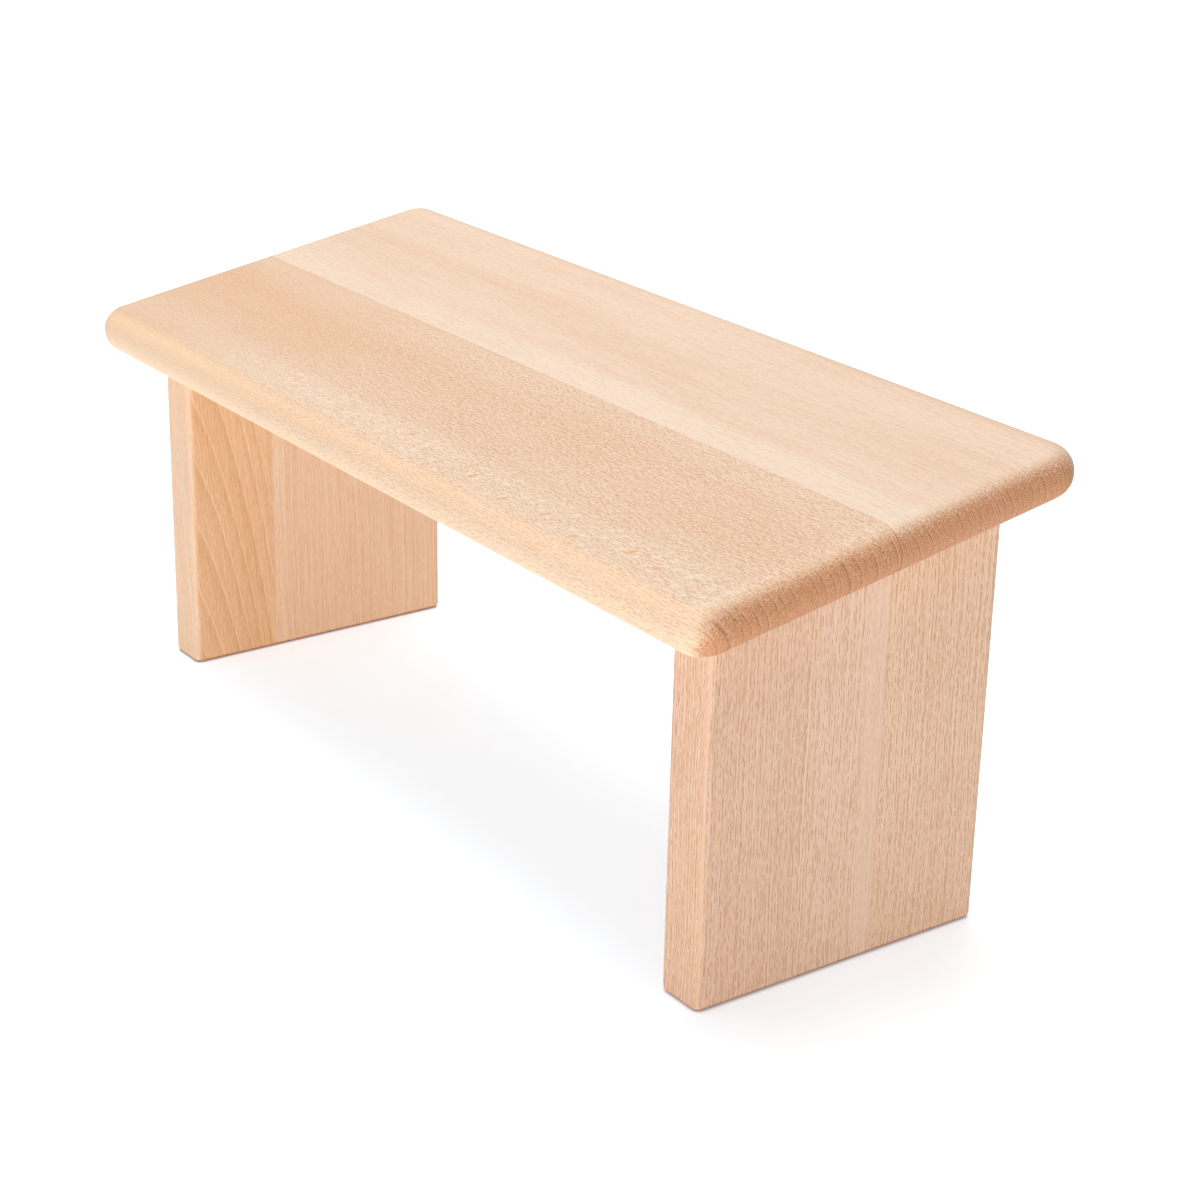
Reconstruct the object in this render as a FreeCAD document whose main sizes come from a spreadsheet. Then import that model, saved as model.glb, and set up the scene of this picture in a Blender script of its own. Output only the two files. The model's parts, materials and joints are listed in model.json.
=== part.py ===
import FreeCAD, Part
import os

import Sketcher
from FreeCAD import Placement, Rotation, Vector

# A low kneeling bench. A sloping seat of two glued boards stands on two board legs of two staves each.
# Each leg hangs on two butt hinges and folds inwards, flat under the seat.
# X runs along the seat, Y from its low front edge to its high rear edge, Z up.
# The origin is on the floor, under the middle of the seat.

# Driving sizes, in millimetres and degrees
SIZES = [
    ("seat_length", 450, "along the grain, end to end"),
    ("seat_depth", 180, "front edge to rear edge, along the slope"),
    ("seat_thickness", 20, ""),
    ("seat_tilt", 9.8, "degrees, falling to the front"),
    ("front_board_depth", 90, "front edge to the glue line"),
    ("edge_band", 0.4, "flat left in the middle of the rounded edge"),
    ("corner_inner_round", 3.2, "corner radius of the flat top"),
    ("leg_width", 134.5, "front to rear at the foot"),
    ("leg_thickness", 22, ""),
    ("leg_front_height", 149, "floor to the seat's underside at the leg's front"),
    ("leg_end_inset", 21.5, "seat end to the leg's outer face"),
    ("leg_front_inset", 22, "seat front edge to the leg, along the slope"),
    ("left_front_stave_width", 42, ""),
    ("right_rear_stave_width", 53, ""),
    ("upright_round", 3, "leg's upright edges"),
    ("foot_round", 2.5, "leg's floor edges"),
    ("hinge_end_distance", 13, "leg's edge to the hinge's end, along the slope"),
    ("hinge_spacing", 10.5, "between a leg's two hinges, along the slope"),
    ("leaf_width", 17, "pin centre to the leaf's outer edge"),
    ("leaf_thickness", 1.5, ""),
    ("leaf_corner_round", 2, ""),
    ("knuckle_gap", 0.2, "between neighbouring knuckles"),
    ("notch_clearance", 0.4, "between a knuckle and the other leaf"),
    ("barrel_clearance", 0.3, "between the barrel and the wood"),
    ("pin_diameter", 2.6, ""),
    ("pin_clearance", 0.05, "radial, pin in its knuckles"),
    ("pin_head_diameter", 4.2, ""),
    ("pin_head_height", 0.9, ""),
    ("pin_head_round", 0.5, ""),
    ("screw_diameter", 3, "shank"),
    ("screw_head_diameter", 5.6, "countersunk"),
    ("screw_length", 14, "head to tip"),
    ("screw_tip_length", 3, ""),
    ("screw_slot_width", 0.8, ""),
    ("screw_slot_depth", 0.6, ""),
    ("screw_clearance", 0.05, "between a screw and its hole"),
    ("screw_slot_wall", 1.45, "middle screw's head to the space of the other leaf's knuckle"),
    ("screw_edge_distance", 4.5, "leaf's outer edge to the outer screws' centres"),
    ("screw_end_distance", 8, "leaf's end to the outer screws' centres"),
    ("cut_overrun", 2, "how far a cutting shape runs past what it cuts"),
]

# Sizes that follow from the driving ones
WORKED = [
    ("edge_round", "(Sizes.seat_thickness - Sizes.edge_band) / 2"),
    ("corner_round", "edge_round + Sizes.corner_inner_round"),
    ("tilt_sin", "sin(Sizes.seat_tilt)"),
    ("tilt_cos", "cos(Sizes.seat_tilt)"),
    ("seat_y", "Sizes.seat_thickness / 2 * tilt_sin"),
    ("leg_front_place", "Sizes.leg_front_inset - Sizes.seat_depth / 2"),
    ("seat_z", "Sizes.leg_front_height - leg_front_place * tilt_sin"),
    ("leg_front_y", "seat_y + leg_front_place * tilt_cos"),
    ("leg_outer_x", "Sizes.seat_length / 2 - Sizes.leg_end_inset"),
    ("leg_inner_x", "leg_outer_x - Sizes.leg_thickness"),
    ("leg_slope_width", "Sizes.leg_width / tilt_cos"),
    ("leg_rise", "tilt_sin / tilt_cos"),
    ("barrel_radius", "Sizes.pin_diameter / 2 + Sizes.pin_clearance + Sizes.leaf_thickness"),
    ("pin_offset", "barrel_radius + Sizes.barrel_clearance"),
    ("plate_offset", "pin_offset - Sizes.leaf_thickness"),
    ("pin_x", "leg_inner_x - pin_offset"),
    ("hinge_length", "(leg_slope_width - Sizes.hinge_spacing) / 2 - Sizes.hinge_end_distance"),
    ("hinge_inset", "Sizes.hinge_end_distance + hinge_length / 2"),
    ("front_hinge_place", "leg_front_place + hinge_inset"),
    ("rear_hinge_place", "leg_front_place + leg_slope_width - hinge_inset"),
    ("front_hinge_y", "seat_y + front_hinge_place * tilt_cos + pin_offset * tilt_sin"),
    ("front_hinge_z", "seat_z + front_hinge_place * tilt_sin - pin_offset * tilt_cos"),
    ("rear_hinge_y", "seat_y + rear_hinge_place * tilt_cos + pin_offset * tilt_sin"),
    ("rear_hinge_z", "seat_z + rear_hinge_place * tilt_sin - pin_offset * tilt_cos"),
    ("slot_half_width", "barrel_radius + Sizes.notch_clearance"),
    ("screw_radius", "Sizes.screw_diameter / 2"),
    ("screw_head_radius", "Sizes.screw_head_diameter / 2"),
    ("screw_head_height", "screw_head_radius - screw_radius"),
    ("middle_screw_row", "slot_half_width + Sizes.screw_slot_wall + screw_head_radius"),
    ("outer_screw_row", "Sizes.leaf_width - Sizes.screw_edge_distance"),
    ("outer_screw_place", "hinge_length / 2 - Sizes.screw_end_distance"),
]

KNUCKLES = 5
TOUCH = 1e-4

doc = FreeCAD.newDocument("KneelingBench")


# Sheets and reading them

def write_sheet(name, rows, text_of):
    sheet = doc.addObject("Spreadsheet::Sheet", name)
    for number, row in enumerate(rows, start=1):
        sheet.set("A%d" % number, row[0])
        sheet.set("B%d" % number, text_of(row))
        sheet.setAlias("B%d" % number, row[0])
        if len(row) > 2:
            sheet.set("C%d" % number, row[2])
    doc.recompute()
    return sheet


sizes = write_sheet("Sizes", SIZES, lambda row: str(row[1]))
worked = write_sheet("Worked", WORKED, lambda row: "=" + row[1])


def value(words):
    result = sizes.evalExpression(words)
    return float(getattr(result, "Value", result))


# Sketches and features

def new_body(name):
    return doc.addObject("PartDesign::Body", name)


def new_sketch(body, name, role):
    sketch = body.newObject("Sketcher::SketchObject", name)
    plane = next(feature for feature in body.Origin.OriginFeatures if feature.Role == role)
    sketch.AttachmentSupport = [(plane, "")]
    sketch.MapMode = "FlatFace"
    return sketch


def hold(sketch, constraint, words):
    index = sketch.addConstraint(constraint)
    sketch.setExpression("Constraints[%d]" % index, words)


def draw_outline(sketch, corners):
    """Draws a closed outline of straight lines; each corner is a pair of expressions."""
    points = [Vector(value(across), value(along), 0) for across, along in corners]
    first = sketch.GeometryCount
    for number, point in enumerate(points):
        following = points[(number + 1) % len(points)]
        sketch.addGeometry(Part.LineSegment(point, following), False)
    for number, (across, along) in enumerate(corners):
        line = first + number
        following = first + (number + 1) % len(corners)
        sketch.addConstraint(Sketcher.Constraint("Coincident", line, 2, following, 1))
        hold(sketch, Sketcher.Constraint("DistanceX", -1, 1, line, 1, points[number].x), across)
        hold(sketch, Sketcher.Constraint("DistanceY", -1, 1, line, 1, points[number].y), along)


def draw_circle(sketch, radius):
    circle = sketch.addGeometry(Part.Circle(Vector(), Vector(0, 0, 1), value(radius)), False)
    sketch.addConstraint(Sketcher.Constraint("Coincident", circle, 3, -1, 1))
    hold(sketch, Sketcher.Constraint("Radius", circle, value(radius)), radius)


def pad(body, sketch, name, length, side="One side"):
    feature = body.newObject("PartDesign::Pad", name)
    feature.Profile = sketch
    feature.SideType = side
    feature.setExpression("Length", length)
    doc.recompute()
    return feature


def pocket(body, sketch, name, length, side="One side", reverse=False):
    before = body.Shape.Volume
    feature = body.newObject("PartDesign::Pocket", name)
    feature.Profile = sketch
    feature.SideType = side
    feature.Reversed = reverse
    feature.setExpression("Length", length)
    doc.recompute()
    if not body.Shape.Volume < before:
        raise RuntimeError("%s cuts nothing" % name)
    return feature


def round_edges(body, name, radius, wanted):
    """Rounds the edges of the body's last feature that the test accepts."""
    base = body.Tip
    edges = ["Edge%d" % (number + 1) for number, edge in enumerate(base.Shape.Edges) if wanted(edge)]
    feature = body.newObject("PartDesign::Fillet", name)
    feature.Base = (base, edges)
    feature.setExpression("Radius", radius)
    doc.recompute()
    return feature


def turn(body, sketch, name):
    feature = body.newObject("PartDesign::Revolution", name)
    feature.Profile = sketch
    feature.ReferenceAxis = (sketch, ["V_Axis"])
    feature.Angle = 360
    doc.recompute()
    return feature


def lies_on(edge, axis, place):
    """Says whether the whole edge lies at one place along an axis (0, 1 or 2)."""
    box = edge.BoundBox
    low = (box.XMin, box.YMin, box.ZMin)[axis]
    high = (box.XMax, box.YMax, box.ZMax)[axis]
    return abs(low - place) < TOUCH and abs(high - place) < TOUCH


def runs_along(edge, axis):
    box = edge.BoundBox
    spans = [box.XLength, box.YLength, box.ZLength]
    return all(span < TOUCH for number, span in enumerate(spans) if number != axis)


def place(thing, across, along, up, tilted=True):
    """Binds a thing's place, and tilts it with the seat."""
    if tilted:
        thing.Placement = Placement(Vector(), Rotation(Vector(1, 0, 0), value("Sizes.seat_tilt")))
        thing.setExpression(".Placement.Rotation.Angle", "Sizes.seat_tilt")
    thing.setExpression(".Placement.Base.x", across)
    thing.setExpression(".Placement.Base.y", along)
    thing.setExpression(".Placement.Base.z", up)


def join(name, things):
    group = doc.addObject("Part::Compound", name)
    group.Links = things
    return group


def drill(name, base, tool):
    result = doc.addObject("Part::Cut", name)
    result.Base = base
    result.Tool = tool
    return result


def mirror(name, source):
    result = doc.addObject("Part::Mirroring", name)
    result.Source = source
    result.Base = (0, 0, 0)
    result.Normal = (1, 0, 0)
    return result


# Wood screw and the hole it fills: the head's face is at Z = 0 and the tip points up

def screw_corners(clearance, top):
    """Half the section; the hole's is larger all round by the clearance and open at the head."""
    head = "Worked.screw_head_radius + %s" % clearance
    shank = "Worked.screw_radius + %s" % clearance
    slant = "%s * Sizes.screw_tip_length / Worked.screw_radius" % clearance
    mouth = [("0", top), (head, top)] if top != "0" else [("0", "0")]
    return mouth + [
        (head, "0"),
        (shank, "Worked.screw_head_height"),
        (shank, "Sizes.screw_length - Sizes.screw_tip_length"),
        ("0", "Sizes.screw_length + %s" % slant),
    ]


def make_screw():
    body = new_body("wood_screw")
    section = new_sketch(body, "screw_section", "XZ_Plane")
    draw_outline(section, screw_corners("0", "0"))
    turn(body, section, "screw_turned")
    slot = new_sketch(body, "screw_slot_sketch", "XY_Plane")
    draw_outline(slot, [
        ("-Worked.screw_head_radius - Sizes.cut_overrun", "-Sizes.screw_slot_width / 2"),
        ("Worked.screw_head_radius + Sizes.cut_overrun", "-Sizes.screw_slot_width / 2"),
        ("Worked.screw_head_radius + Sizes.cut_overrun", "Sizes.screw_slot_width / 2"),
        ("-Worked.screw_head_radius - Sizes.cut_overrun", "Sizes.screw_slot_width / 2"),
    ])
    pocket(body, slot, "screw_slot", "Sizes.screw_slot_depth", reverse=True)
    return body


def make_screw_hole():
    body = new_body("screw_hole")
    section = new_sketch(body, "screw_hole_section", "XZ_Plane")
    draw_outline(section, screw_corners("Sizes.screw_clearance", "-Sizes.cut_overrun"))
    turn(body, section, "screw_hole_turned")
    return body


SCREW_PLACES = [
    ("-Worked.outer_screw_place", "Worked.outer_screw_row"),
    ("0", "Worked.middle_screw_row"),
    ("Worked.outer_screw_place", "Worked.outer_screw_row"),
]


def screw_row(name, master, leaf):
    """Copies of a screw or its hole in one leaf, in the hinge's own frame."""
    copies = []
    for number, (along, row) in enumerate(SCREW_PLACES, start=1):
        copy = doc.addObject("App::Link", "%s_%d" % (name, number))
        copy.LinkedObject = master
        if leaf == "seat":
            place(copy, row, along, "Worked.plate_offset", tilted=False)
        else:
            copy.Placement = Placement(Vector(), Rotation(Vector(0, 1, 0), -90))
            place(copy, "-Worked.plate_offset", along, "-(%s)" % row, tilted=False)
        copies.append(copy)
    return join(name, copies)


# Hinges: the pin runs along Y through the origin of the hinge's own frame,
# the seat's leaf lies flat above it towards +X, and the leg's leaf stands beside it downwards

def knuckle_slots(sketch, leaf):
    """Outlines the spans of the barrel that belong to the other leaf."""
    wide = "Worked.slot_half_width"
    reach = "(Worked.hinge_length / 2 + Sizes.cut_overrun)"
    own = 0 if leaf == "seat" else 1
    for number in range(KNUCKLES):
        if number % 2 == own:
            continue
        low = "Worked.hinge_length * %d / %d - Worked.hinge_length / 2" % (number, KNUCKLES)
        high = "Worked.hinge_length * %d / %d - Worked.hinge_length / 2" % (number + 1, KNUCKLES)
        start = "-" + reach if number == 0 else "%s - Sizes.knuckle_gap / 2" % low
        end = reach if number == KNUCKLES - 1 else "%s + Sizes.knuckle_gap / 2" % high
        if leaf == "seat":
            corners = [("-" + wide, start), (wide, start), (wide, end), ("-" + wide, end)]
        else:
            corners = [(start, "-" + wide), (end, "-" + wide), (end, wide), (start, wide)]
        draw_outline(sketch, corners)


def make_leaf(name, leaf):
    """A flat plate rolled into its knuckles."""
    body = new_body(name + "_blank")
    plate = new_sketch(body, name + "_plate_sketch", "XZ_Plane")
    if leaf == "seat":
        low, high = ("0", "Worked.plate_offset"), ("Sizes.leaf_width", "Worked.pin_offset")
    else:
        low, high = ("-Worked.pin_offset", "-Sizes.leaf_width"), ("-Worked.plate_offset", "0")
    draw_outline(plate, [low, (high[0], low[1]), high, (low[0], high[1])])
    pad(body, plate, name + "_plate", "Worked.hinge_length", "Symmetric")
    if leaf == "seat":
        outer_corner = lambda edge: runs_along(edge, 2) and lies_on(edge, 0, value("Sizes.leaf_width"))
    else:
        outer_corner = lambda edge: runs_along(edge, 0) and lies_on(edge, 2, -value("Sizes.leaf_width"))
    round_edges(body, name + "_corners", "Sizes.leaf_corner_round", outer_corner)
    barrel = new_sketch(body, name + "_barrel_sketch", "XZ_Plane")
    draw_circle(barrel, "Worked.barrel_radius")
    pad(body, barrel, name + "_barrel", "Worked.hinge_length", "Symmetric")
    bore = new_sketch(body, name + "_bore_sketch", "XZ_Plane")
    draw_circle(bore, "Sizes.pin_diameter / 2 + Sizes.pin_clearance")
    pocket(body, bore, name + "_bore", "Worked.hinge_length + 2 * Sizes.cut_overrun", "Symmetric")
    slots = new_sketch(body, name + "_slot_sketch", "XY_Plane" if leaf == "seat" else "YZ_Plane")
    knuckle_slots(slots, leaf)
    pocket(body, slots, name + "_slots", "2 * (Worked.pin_offset + Sizes.cut_overrun)", "Symmetric")
    return body


def make_pin(name):
    body = new_body(name)
    section = new_sketch(body, name + "_section", "XY_Plane")
    end = "(Worked.hinge_length / 2 + Sizes.pin_head_height)"
    shoulder = "(Worked.hinge_length / 2)"
    head = "Sizes.pin_head_diameter / 2"
    shank = "Sizes.pin_diameter / 2"
    draw_outline(section, [
        ("0", "-" + end),
        (head, "-" + end),
        (head, "-" + shoulder),
        (shank, "-" + shoulder),
        (shank, shoulder),
        (head, shoulder),
        (head, end),
        ("0", end),
    ])
    turn(body, section, name + "_turned")
    tip = value(end)
    round_edges(body, name + "_heads", "Sizes.pin_head_round",
                lambda edge: lies_on(edge, 1, tip) or lies_on(edge, 1, -tip))
    return body


def make_hinge(name, place_words):
    """One left hinge; returns its sub-parts by name, and the holes that it needs in the wood."""
    spot = ("-Worked.pin_x", "Worked.%s_y" % place_words, "Worked.%s_z" % place_words)
    parts = {}
    holes = {}
    for leaf in ("seat", "leg"):
        blank = make_leaf("%s_%s_leaf" % (name, leaf), leaf)
        place(blank, *spot)
        holes[leaf] = screw_row("%s_%s_holes" % (name, leaf), screw_hole, leaf)
        place(holes[leaf], *spot)
        parts["%s_%s_leaf" % (name, leaf)] = drill("%s_%s_leaf" % (name, leaf), blank, holes[leaf])
        screws = screw_row("%s_%s_screws" % (name, leaf), wood_screw, leaf)
        place(screws, *spot)
        parts["%s_%s_screws" % (name, leaf)] = screws
    pin = make_pin("%s_pin" % name)
    place(pin, *spot)
    parts["%s_pin" % name] = pin
    return parts, holes


# Seat boards: the sketch lies in the underside, with its origin under the middle of the seat

def make_seat_board(name, start, end, outer, holes):
    """One board from start to end across the seat; its outer edge and its ends are rounded."""
    body = new_body(name + "_blank")
    outline = new_sketch(body, name + "_outline", "XY_Plane")
    draw_outline(outline, [
        ("-Sizes.seat_length / 2", start),
        ("Sizes.seat_length / 2", start),
        ("Sizes.seat_length / 2", end),
        ("-Sizes.seat_length / 2", end),
    ])
    pad(body, outline, name + "_slab", "Sizes.seat_thickness")
    free = value(outer)
    seam = value(end if outer == start else start)
    round_edges(body, name + "_corners", "Worked.corner_round",
                lambda edge: runs_along(edge, 2) and lies_on(edge, 1, free))
    faces = (0, value("Sizes.seat_thickness"))
    round_edges(body, name + "_edges", "Worked.edge_round",
                lambda edge: any(lies_on(edge, 2, face) for face in faces) and not lies_on(edge, 1, seam))
    place(body, "0", "Worked.seat_y", "Worked.seat_z")
    return drill(name, body, holes)


# Leg staves: the sketch lies in the leg's side, with its origin at the leg's front foot corner

def make_stave(name, side, start, end, outer, holes):
    """One stave from start to end across the leg, cut to the seat's slope at its top."""
    body = new_body(name + "_blank")
    outline = new_sketch(body, name + "_outline", "YZ_Plane")
    top_at = "Sizes.leg_front_height + (%s) * Worked.leg_rise"
    draw_outline(outline, [
        (start, "0"),
        (end, "0"),
        (end, top_at % end),
        (start, top_at % start),
    ])
    pad(body, outline, name + "_slab", "Sizes.leg_thickness")
    free = value(outer)
    seam = value(end if outer == start else start)
    round_edges(body, name + "_upright_edges", "Sizes.upright_round",
                lambda edge: runs_along(edge, 2) and lies_on(edge, 1, free))
    round_edges(body, name + "_foot_edges", "Sizes.foot_round",
                lambda edge: lies_on(edge, 2, 0) and not lies_on(edge, 1, seam))
    across = "-Worked.leg_outer_x" if side == "left" else "Worked.leg_inner_x"
    place(body, across, "Worked.leg_front_y", "0", tilted=False)
    return drill(name, body, holes)


wood_screw = make_screw()
screw_hole = make_screw_hole()

# Hinges on the left, and their mirror images on the right
nodes = {}
left_holes = {"seat": [], "leg": []}
for position in ("front", "rear"):
    hinge_parts, hinge_holes = make_hinge("left_%s_hinge" % position, "%s_hinge" % position)
    nodes.update(hinge_parts)
    for kind, holes in hinge_holes.items():
        left_holes[kind].append(holes)
for name, part in list(nodes.items()):
    twin = name.replace("left", "right", 1)
    nodes[twin] = mirror(twin, part)
right_holes = {
    kind: [mirror(holes.Name.replace("left", "right", 1), holes) for holes in rows]
    for kind, rows in left_holes.items()
}
seat_holes = join("seat_holes", left_holes["seat"] + right_holes["seat"])
leg_holes = {
    "left": join("left_leg_holes", left_holes["leg"]),
    "right": join("right_leg_holes", right_holes["leg"]),
}

front_edge = "-Sizes.seat_depth / 2"
glue_line = "Sizes.front_board_depth - Sizes.seat_depth / 2"
rear_edge = "Sizes.seat_depth / 2"
seat_spans = {
    "seat_front_board": (front_edge, glue_line, front_edge),
    "seat_rear_board": (glue_line, rear_edge, rear_edge),
}
for name, span in seat_spans.items():
    nodes[name] = make_seat_board(name, *span, seat_holes)

glue_lines = {
    "left": "Sizes.left_front_stave_width",
    "right": "Sizes.leg_width - Sizes.right_rear_stave_width",
}
for side, seam_place in glue_lines.items():
    leg_spans = {
        "front": ("0", seam_place, "0"),
        "rear": (seam_place, "Sizes.leg_width", "Sizes.leg_width"),
    }
    for position, span in leg_spans.items():
        name = "%s_leg_%s_stave" % (side, position)
        nodes[name] = make_stave(name, side, *span, leg_holes[side])

doc.recompute()

# Every object has to be sound before anything is written
for thing in doc.Objects:
    if "Invalid" in thing.State or "Error" in thing.State:
        raise RuntimeError("%s did not recompute: %s" % (thing.Name, thing.State))

os.makedirs("parts", exist_ok=True)
for name, part in sorted(nodes.items()):
    part.Label = name
    shape = part.Shape
    if shape.isNull() or not shape.isValid() or not shape.Solids:
        raise RuntimeError("%s has no sound shape" % name)
for name, part in sorted(nodes.items()):
    part.Shape.exportStep("parts/%s.step" % part.Label)
print("%d sub-parts written" % len(nodes))
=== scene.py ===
import json
import math

import bmesh
import bpy
from mathutils import Matrix, Vector


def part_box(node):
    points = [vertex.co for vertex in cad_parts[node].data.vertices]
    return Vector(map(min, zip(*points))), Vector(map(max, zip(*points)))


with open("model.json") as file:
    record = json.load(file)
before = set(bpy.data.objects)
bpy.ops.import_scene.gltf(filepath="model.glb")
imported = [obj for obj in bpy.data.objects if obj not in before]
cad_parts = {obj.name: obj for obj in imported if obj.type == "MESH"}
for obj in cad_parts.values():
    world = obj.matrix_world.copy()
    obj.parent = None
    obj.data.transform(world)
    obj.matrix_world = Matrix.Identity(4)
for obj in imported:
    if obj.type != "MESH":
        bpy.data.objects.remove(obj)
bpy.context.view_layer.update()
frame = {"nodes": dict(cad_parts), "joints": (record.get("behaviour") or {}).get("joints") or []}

# The low kneeling bench: every piece comes from the frame, and this script gives the boards their
# beech, the hinges their brass, and the bench a studio. Lengths are in metres.

MM = 0.001

# The seat's slope and the foot of its glue line, both read from the frame
SEAT_TILT = math.asin(abs(frame["joints"][0]["axis"][2]))
SEAT_TURN = Matrix.Rotation(SEAT_TILT, 4, "X")
front_board_low, front_board_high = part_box("seat_front_board")
rear_board_low, rear_board_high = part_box("seat_rear_board")
GLUE_FOOT = Vector((0, front_board_high.y, rear_board_low.z))


class Wiring:
    """Adds nodes to one tree. An input given as a socket is linked, and any other is set."""

    def __init__(self, tree):
        self.tree = tree

    def feed(self, socket, source):
        if isinstance(source, bpy.types.NodeSocket):
            self.tree.links.new(source, socket)
        else:
            socket.default_value = source

    def node(self, kind, inputs=None, **settings):
        made = self.tree.nodes.new("ShaderNode" + kind)
        for name, setting in settings.items():
            setattr(made, name, setting)
        for name, source in (inputs or {}).items():
            self.feed(made.inputs[name], source)
        return made

    def of_one(self, operation, amount):
        return self.node("Math", {0: amount}, operation=operation).outputs[0]

    def of_two(self, operation, first, second, clamp=False):
        return self.node("Math", {0: first, 1: second}, operation=operation, use_clamp=clamp).outputs[0]

    def plus(self, first, second, clamp=False):
        return self.of_two("ADD", first, second, clamp)

    def minus(self, first, second, clamp=False):
        return self.of_two("SUBTRACT", first, second, clamp)

    def times(self, first, second, clamp=False):
        return self.of_two("MULTIPLY", first, second, clamp)

    def over(self, first, second):
        return self.of_two("DIVIDE", first, second)

    def vector(self, operation, first, second=(0, 0, 0)):
        """Vector arithmetic, whose result is a number for a length or a dot product."""
        made = self.node("VectorMath", {0: first, 1: second}, operation=operation)
        return made.outputs["Value" if operation in ("LENGTH", "DOT_PRODUCT") else "Vector"]

    def split(self, vector):
        """The sockets of a vector's X, Y and Z."""
        return self.node("SeparateXYZ", {0: vector}).outputs

    def joined(self, **parts):
        """A vector of the X, Y and Z that are given, and noughts."""
        return self.node("CombineXYZ", parts).outputs[0]

    def scaled(self, vector, size):
        """Divides a place by a size along each axis, so that the size becomes one unit."""
        return self.vector("DIVIDE", vector, size)

    def ramp(self, amount, low, high, to_low=0.0, to_high=1.0):
        """Runs smoothly from one end to the other while the amount goes from low to high."""
        inputs = {"Value": amount, "From Min": low, "From Max": high, "To Min": to_low, "To Max": to_high}
        return self.node("MapRange", inputs, interpolation_type="SMOOTHSTEP").outputs["Result"]

    def hump(self, amount, rise, fall):
        """Rises while the amount goes through one range, and falls while it goes through the other."""
        return self.times(self.ramp(amount, *rise), self.ramp(amount, *fall))

    def noise(self, place, detail=2.0, roughness=0.5, output="Fac", dimensions="3D"):
        inputs = {"Vector": place, "Scale": 1.0, "Detail": detail, "Roughness": roughness}
        return self.node("TexNoise", inputs, noise_dimensions=dimensions).outputs[output]

    def blend(self, share, first, second):
        mixed = self.node("Mix", data_type="RGBA")
        colours = [socket for socket in mixed.inputs if socket.type == "RGBA"]
        for socket, source in ((mixed.inputs[0], share), (colours[0], first), (colours[1], second)):
            self.feed(socket, source)
        return next(socket for socket in mixed.outputs if socket.type == "RGBA")


def new_group(name, inputs, outputs):
    """An effect shared by materials; returns its wiring, its inputs and its outputs."""
    group = bpy.data.node_groups.new(name, "ShaderNodeTree")
    for label, (kind, default) in inputs.items():
        socket = group.interface.new_socket(label, in_out="INPUT", socket_type="NodeSocket" + kind)
        if default is not None:
            socket.default_value = default
    for label, kind in outputs.items():
        group.interface.new_socket(label, in_out="OUTPUT", socket_type="NodeSocket" + kind)
    source = group.nodes.new("NodeGroupInput")
    sink = group.nodes.new("NodeGroupOutput")
    return Wiring(group), source.outputs, sink.inputs


def new_material(name):
    material = bpy.data.materials.new(name)
    material.use_nodes = True
    material.node_tree.nodes.clear()
    return material, Wiring(material.node_tree)


def place_group(wires, group, choices):
    """Puts a group into a material, with the values that are chosen by its inputs' names."""
    placed = wires.node("Group", node_tree=group)
    for label, choice in choices.items():
        placed.inputs[label.replace("_", " ").title()].default_value = choice
    return placed


def finish_surface(wires, group, bump, settings):
    """Ends a material in a shader that takes its colour, roughness and bumps from its group."""
    distance, strength = bump
    inputs = {"Height": group.outputs["Height"], "Distance": distance, "Strength": strength}
    bumps = wires.node("Bump", inputs)
    surface = wires.node("BsdfPrincipled", {
        "Base Color": group.outputs["Colour"],
        "Roughness": group.outputs["Roughness"],
        "Normal": bumps.outputs[0],
    })
    for label, setting in settings.items():
        surface.inputs[label].default_value = setting
    wires.tree.links.new(surface.outputs[0], wires.node("OutputMaterial").inputs[0])


def tint(red, green, blue):
    return (red, green, blue, 1.0)


# Beech

# Sizes of its patterns: along the fibres, then twice across them
SWAY_CELL = (90 * MM, 45 * MM, 45 * MM)
CLOUD_CELL = (110 * MM, 26 * MM, 26 * MM)
GRAIN_CELL = (1.3 * MM, 0.42 * MM, 0.42 * MM)
WANDER_CELL = (8 * MM, 7 * MM, 7 * MM)
HONEY_CELL = (70 * MM, 4 * MM, 4 * MM)
SPECKLE_CELL = (0.7 * MM, 0.5 * MM, 0.5 * MM)
RING_GAP_CELL = (40 * MM, 9 * MM, 5 * MM)
YEARS_CELL = (1.0, 9 * MM, 1.0)
BAND_LENGTH = 260 * MM
YEARS_UNEVENNESS = 2.2
NOISE_STRETCH = 4.0  # noise keeps near its middle, so its depths are stretched

# A year runs from 0 to 1: its late wood, the line that ends it, and the start of the next one
LATE_WOOD = ((0.3, 0.88), (0.93, 0.86))
YEAR_END = ((0.82, 0.9), (1.0, 0.94))
YEAR_START = ((0.0, 0.04), (0.3, 0.1))

# Dashes: where their pattern starts, their size, the half width of their core and of their rim, how much
# of a column is gap, and how much of the dash still shows in a gap
DARK_DASH = {"turn": 0.0, "scale": 1.0, "half_line": (0.05, 0.2), "gap": 0.47, "gap_tone": 0.2}
PALE_DASH = {"turn": 31.7, "scale": 1.0, "half_line": (0.1, 0.3), "gap": 0.45, "gap_tone": 0.35}
FINE_DASH = {"turn": 11.3, "scale": 0.6, "half_line": (0.1, 0.35), "gap": 0.45, "gap_tone": 0.35}
FINE_DASH_SHARE = 0.45
COLUMN_SPREAD = 97.0  # how far apart in the noise the columns lie, so that no two look alike
RAYS_LIE_FLAT = (0.98, 0.88)

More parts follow.
